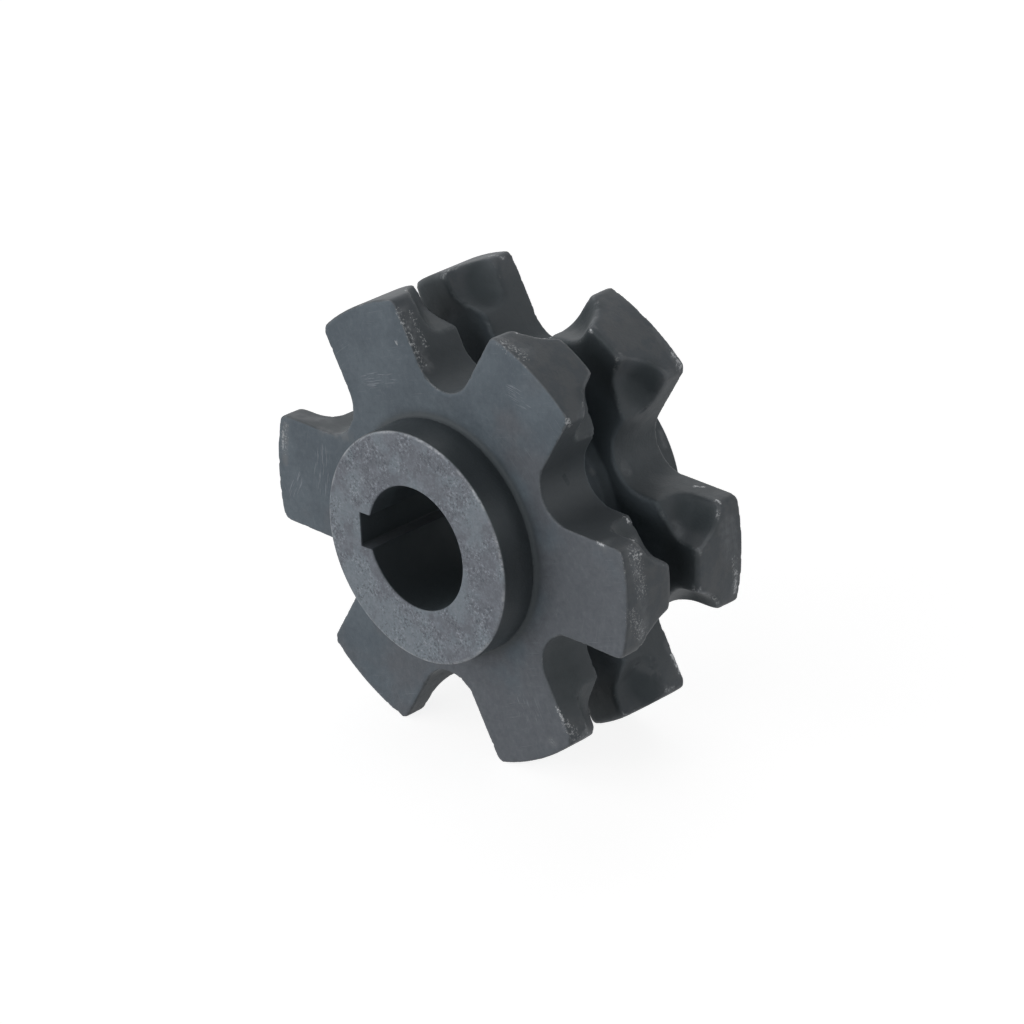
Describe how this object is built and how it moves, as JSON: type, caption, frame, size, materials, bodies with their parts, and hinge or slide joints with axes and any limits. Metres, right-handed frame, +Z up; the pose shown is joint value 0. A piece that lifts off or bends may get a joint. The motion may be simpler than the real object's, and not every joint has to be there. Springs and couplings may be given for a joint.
{
  "type": "pocket sprocket",
  "caption": "Double-plate pocket sprocket for round-link chain: toothed plates with link pockets and a groove between them, on a long keyed hub.",
  "frame": {"origin": "on the bore axis, halfway between the two toothed plates", "axes": "+Y along the bore axis, +Z up; a tooth points along +X and another along -X, so the wheel stands on the two teeth either side of -Z"},
  "size_m": [0.2084, 0.11, 0.199],
  "materials": {
    "blackened_casting": "blackened, satin, with worn bright edges and light machining marks"
  },
  "bodies": {
    "root": {"sprocket": "blackened_casting"}
  },
  "joints": []
}
